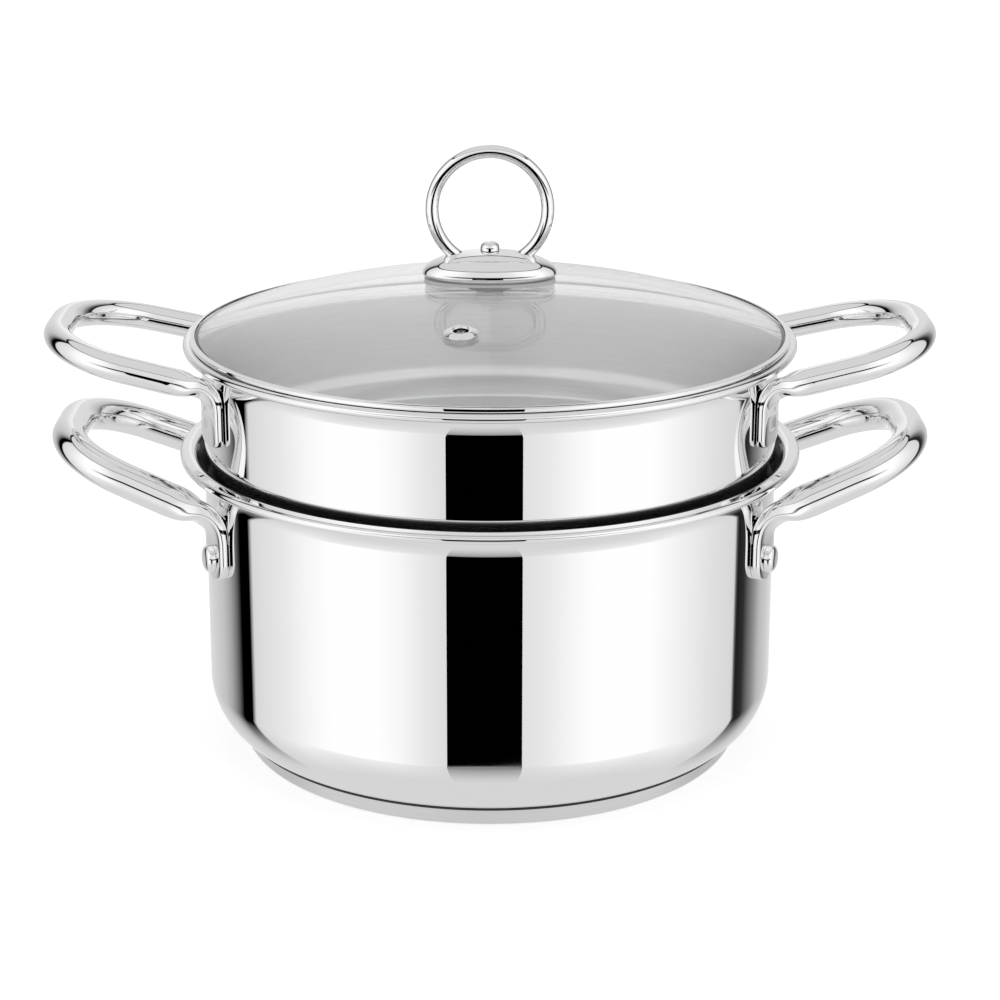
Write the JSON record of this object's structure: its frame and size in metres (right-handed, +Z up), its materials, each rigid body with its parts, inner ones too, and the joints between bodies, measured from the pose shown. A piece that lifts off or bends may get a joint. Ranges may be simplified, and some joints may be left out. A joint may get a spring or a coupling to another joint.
{
  "type": "steamer pot",
  "caption": "Two-handled stainless pot with a nesting perforated steamer insert and a domed glass lid with a wire ring knob",
  "frame": {"origin": "middle of the flat underside of the base, on the surface that the pot stands on", "axes": "+Z up, X through both pairs of handles, -Y towards the front where the vent is"},
  "size_m": [0.3094, 0.2158, 0.2146],
  "materials": {
    "polished_steel": "mirror-polished stainless steel",
    "satin_steel": "circular satin",
    "aluminium_core": "raw",
    "clear_glass": "clear tempered",
    "silicone": "translucent matt"
  },
  "bodies": {
    "pot": {"pot_body": "polished_steel", "base_core": "aluminium_core", "base_cap": "satin_steel", "pot_handle_left": "polished_steel", "pot_handle_right": "polished_steel", "rivet_left_front": "polished_steel", "rivet_left_back": "polished_steel", "rivet_right_front": "polished_steel", "rivet_right_back": "polished_steel"},
    "steamer": {"insert_body": "polished_steel", "insert_handle_left": "polished_steel", "insert_handle_right": "polished_steel"},
    "lid": {"lid_glass": "clear_glass", "lid_rim_band": "polished_steel", "vent_eyelet": "polished_steel", "vent_washer": "silicone", "knob_plate": "polished_steel", "knob_ring": "polished_steel", "knob_screw": "polished_steel", "knob_nut": "satin_steel", "knob_washer": "silicone", "knob_gasket": "silicone"}
  },
  "joints": [
    {"name": "insert_lift", "type": "slide", "parent": "pot", "child": "steamer", "axis": [0, 0, 1], "range_m": [0, 0.12]},
    {"name": "lid_lift", "type": "slide", "parent": "steamer", "child": "lid", "axis": [0, 0, 1], "range_m": [0, 0.1]}
  ]
}
